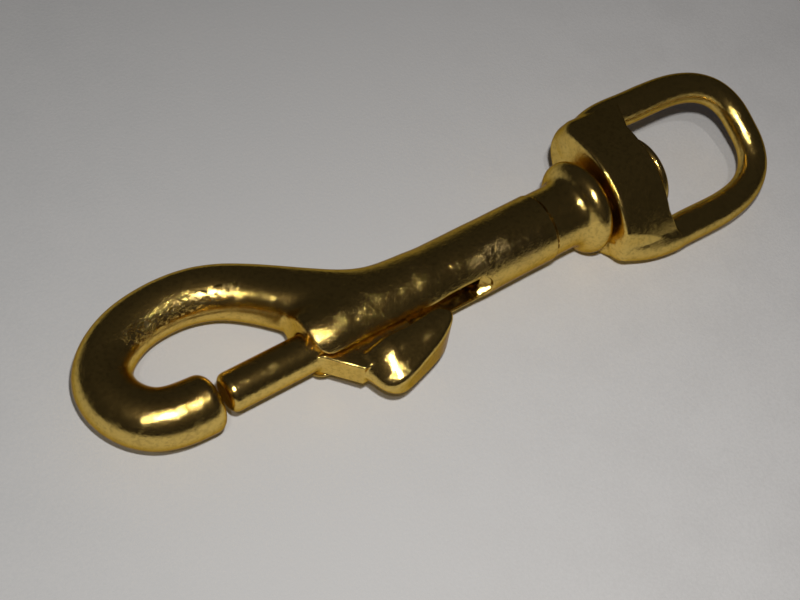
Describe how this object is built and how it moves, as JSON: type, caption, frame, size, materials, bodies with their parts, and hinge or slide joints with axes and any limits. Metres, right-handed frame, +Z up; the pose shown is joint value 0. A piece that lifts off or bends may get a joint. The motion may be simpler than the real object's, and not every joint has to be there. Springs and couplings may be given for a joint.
{
  "type": "piston snap",
  "caption": "Cast brass piston snap: an open hook closed by a sprung bolt with a thumb piece, and a swivel eye turning on a headed pin.",
  "frame": {"origin": "bottom centre of the part's bounding box as it lies on its side", "axes": "+X along the barrel from the hook to the swivel eye, +Y towards the hook's open bow, +Z up from the surface it lies on"},
  "size_m": [0.1202, 0.0331, 0.0165],
  "materials": {
    "cast_brass": "cast and tumbled bright brass, tarnished brown in its hollows, fine casting pits inside the hook",
    "bolt_brass": "bright brass, turned rod and cast thumb piece",
    "spring_wire": "drawn steel wire, grey",
    "pin_brass": "brass pin, flat head tarnished brown",
    "eye_brass": "cast and tumbled bright brass"
  },
  "bodies": {
    "body": {"snap_body": "cast_brass", "swivel_pin": "pin_brass", "spring": "spring_wire"},
    "bolt": {"plunger": "bolt_brass"},
    "eye": {"swivel_eye": "eye_brass"}
  },
  "joints": [
    {"name": "bolt_slide", "type": "slide", "parent": "body", "child": "bolt", "axis": [1, 0, 0], "range_m": [0, 0.0133], "stiffness_N_per_m": 500, "springref_m": -0.004, "deforming": ["spring"]},
    {"name": "eye_swivel", "type": "hinge", "parent": "body", "child": "eye", "pos_m": [0.02877, -0.00345, 0.00817], "axis": [1, 0, 0], "continuous": true}
  ]
}
